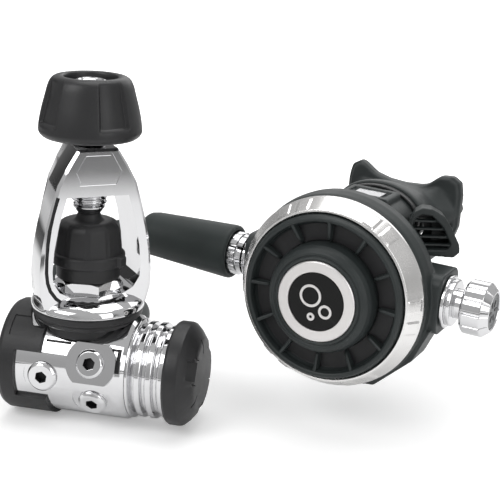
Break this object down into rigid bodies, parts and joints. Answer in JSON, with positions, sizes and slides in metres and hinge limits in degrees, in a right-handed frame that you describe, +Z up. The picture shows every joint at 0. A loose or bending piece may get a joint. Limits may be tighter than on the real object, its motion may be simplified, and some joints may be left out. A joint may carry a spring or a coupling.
{
  "type": "scuba regulator set",
  "caption": "Scuba regulator set: yoke first stage with hand knob, dust cap and port plugs, a hose loop, and a second stage with purge cover, adjuster knob, exhaust tee and mouthpiece.",
  "frame": {"origin": "where the yoke's axis meets the first-stage body's axis", "axes": "+Z up along the yoke screw, +X along the first-stage body towards its end cap, +Y away from the front ports"},
  "size_m": [0.2439, 0.1651, 0.1516],
  "materials": {
    "chrome": "mirror polished plating",
    "satin_steel": "satin turned",
    "spring_steel": "drawn wire",
    "brass": "machined",
    "bronze": "sintered, porous",
    "black_plastic": "fine moulded grain",
    "black_gloss": "smooth moulded",
    "black_rubber": "satin moulded rubber",
    "case_plastic": "dark grey-green black, fine moulded grain",
    "hose_rubber": "smooth extruded rubber",
    "silicone_dark": "soft satin silicone",
    "silicone_clear": "translucent silicone",
    "nylon": "natural nylon",
    "grey_disc": "satin grey",
    "emblem_silver": "fine bead blasted, black centre"
  },
  "bodies": {
    "first_stage": {"first_stage_body": "chrome", "yoke_frame": "chrome", "yoke_retainer_nut": "chrome", "inlet_filter": "bronze", "filter_circlip": "spring_steel", "static_o_rings": "black_rubber", "yoke_bumper_ring": "black_rubber", "body_bumper": "black_rubber", "high_pressure_plug": "chrome", "lp_port_plugs": "chrome", "spring_housing": "chrome", "main_spring": "spring_steel", "ip_adjusting_screw": "brass", "end_cap": "black_plastic", "end_cap_membrane": "silicone_clear", "load_transmitter": "nylon", "valve_seat_orifice": "satin_steel", "poppet_spring": "spring_steel", "balance_plug": "brass", "hose_fitting_lp": "chrome", "hose_ferrule_lp": "chrome", "hose_lower": "hose_rubber"},
    "ip_valve": {"main_diaphragm": "black_rubber", "spring_pad": "brass", "first_stage_poppet": "satin_steel", "push_pin": "satin_steel"},
    "screw_carriage": {"yoke_screw_tip": "chrome"},
    "yoke_knob": {"yoke_screw": "chrome", "yoke_knob": "black_plastic", "yoke_knob_insert": "chrome"},
    "dust_cap": {"dust_cap": "black_rubber"},
    "hose_end": {"hose_upper": "hose_rubber", "hose_ferrule_swivel": "chrome", "hose_sleeve": "hose_rubber", "hose_swivel_fitting": "chrome"},
    "second_stage": {"second_stage_case": "case_plastic", "cover_ring": "chrome", "purge_rim": "case_plastic", "valve_barrel": "chrome", "orifice_cone": "chrome", "adjuster_gland_nut": "chrome", "exhaust_valve": "silicone_clear", "exhaust_tee": "case_plastic", "mouthpiece": "silicone_dark", "mouthpiece_clamp": "black_plastic", "hose_swivel_nut": "chrome", "demand_spring": "spring_steel"},
    "purge_button": {"purge_button": "case_plastic", "emblem_disc": "emblem_silver", "purge_spring": "spring_steel"},
    "demand_diaphragm": {"demand_diaphragm": "silicone_clear", "diaphragm_plate": "satin_steel"},
    "demand_lever": {"demand_lever": "satin_steel"},
    "demand_poppet": {"demand_poppet": "satin_steel"},
    "adjuster_carriage": {"adjuster_spring_pad": "nylon"},
    "adjuster_knob": {"adjuster_screw": "chrome", "adjuster_knob": "chrome", "adjuster_knob_cap": "grey_disc"},
    "venturi_slider": {"venturi_slider": "satin_steel"},
    "venturi_vane": {"venturi_vane": "nylon"}
  },
  "joints": [
    {"name": "yoke_screw_travel", "type": "slide", "parent": "first_stage", "child": "screw_carriage", "axis": [0, 0, 1], "range_m": [0, 0.012]},
    {"name": "yoke_knob_turn", "type": "hinge", "parent": "screw_carriage", "child": "yoke_knob", "pos_m": [0, 0, 0.1], "axis": [0, 0, 1], "range_deg": [0, 2164.6]},
    {"name": "dust_cap_lift", "type": "slide", "parent": "first_stage", "child": "dust_cap", "axis": [0, 0, 1], "range_m": [0, 0.00961]},
    {"name": "ip_valve_lift", "type": "slide", "parent": "first_stage", "child": "ip_valve", "axis": [-1, 0, 0], "range_m": [0, 0.0005]},
    {"name": "hose_flex", "type": "hinge", "parent": "first_stage", "child": "hose_end", "pos_m": [-0.0102, 0.0684, 0.0403], "axis": [0, 0, 1], "range_deg": [-6, 18], "stiffness_Nm_per_rad": 0.6},
    {"name": "second_stage_swivel", "type": "hinge", "parent": "hose_end", "child": "second_stage", "pos_m": [0.1085, 0.03903, 0.0397], "axis": [0.9713, -0.235, -0.0366], "continuous": true},
    {"name": "purge_press", "type": "slide", "parent": "second_stage", "child": "purge_button", "axis": [0.2351, 0.972, 0], "range_m": [0, 0.004]},
    {"name": "diaphragm_travel", "type": "slide", "parent": "second_stage", "child": "demand_diaphragm", "axis": [0.2351, 0.972, 0], "range_m": [0, 0.00401]},
    {"name": "lever_pivot", "type": "hinge", "parent": "second_stage", "child": "demand_lever", "pos_m": [0.09241, 0.03202, 0.04021], "axis": [0.0356, -0.0086, 0.9993], "range_deg": [0, 11.5]},
    {"name": "poppet_lift", "type": "slide", "parent": "second_stage", "child": "demand_poppet", "axis": [0.9713, -0.235, -0.0366], "range_m": [0, 0.00151]},
    {"name": "adjuster_travel", "type": "slide", "parent": "second_stage", "child": "adjuster_carriage", "axis": [-0.9713, 0.235, 0.0366], "range_m": [0, 0.003]},
    {"name": "adjuster_knob_turn", "type": "hinge", "parent": "adjuster_carriage", "child": "adjuster_knob", "pos_m": [0.15706, 0.02728, 0.03787], "axis": [-0.9713, 0.235, 0.0366], "range_deg": [0, 905.3]},
    {"name": "venturi_slide", "type": "slide", "parent": "second_stage", "child": "venturi_slider", "axis": [0.9713, -0.235, -0.0366], "range_m": [-0.0025, 0.0025]},
    {"name": "vane_turn", "type": "hinge", "parent": "second_stage", "child": "venturi_vane", "pos_m": [0.11099, 0.04563, 0.06328], "axis": [0.0356, -0.0086, 0.9993], "range_deg": [-17.5, 17.5]}
  ],
  "couplings": [
    {"joint": "yoke_knob_turn", "follows": "yoke_screw_travel", "rad_per_m": 3141.6},
    {"joint": "dust_cap_lift", "follows": "yoke_screw_travel", "ratio": 0.8},
    {"joint": "diaphragm_travel", "follows": "purge_press", "ratio": 1},
    {"joint": "lever_pivot", "follows": "purge_press", "rad_per_m": 50},
    {"joint": "poppet_lift", "follows": "purge_press", "ratio": 0.375},
    {"joint": "adjuster_knob_turn", "follows": "adjuster_travel", "rad_per_m": 5236},
    {"joint": "vane_turn", "follows": "venturi_slide", "rad_per_m": -121.5}
  ]
}
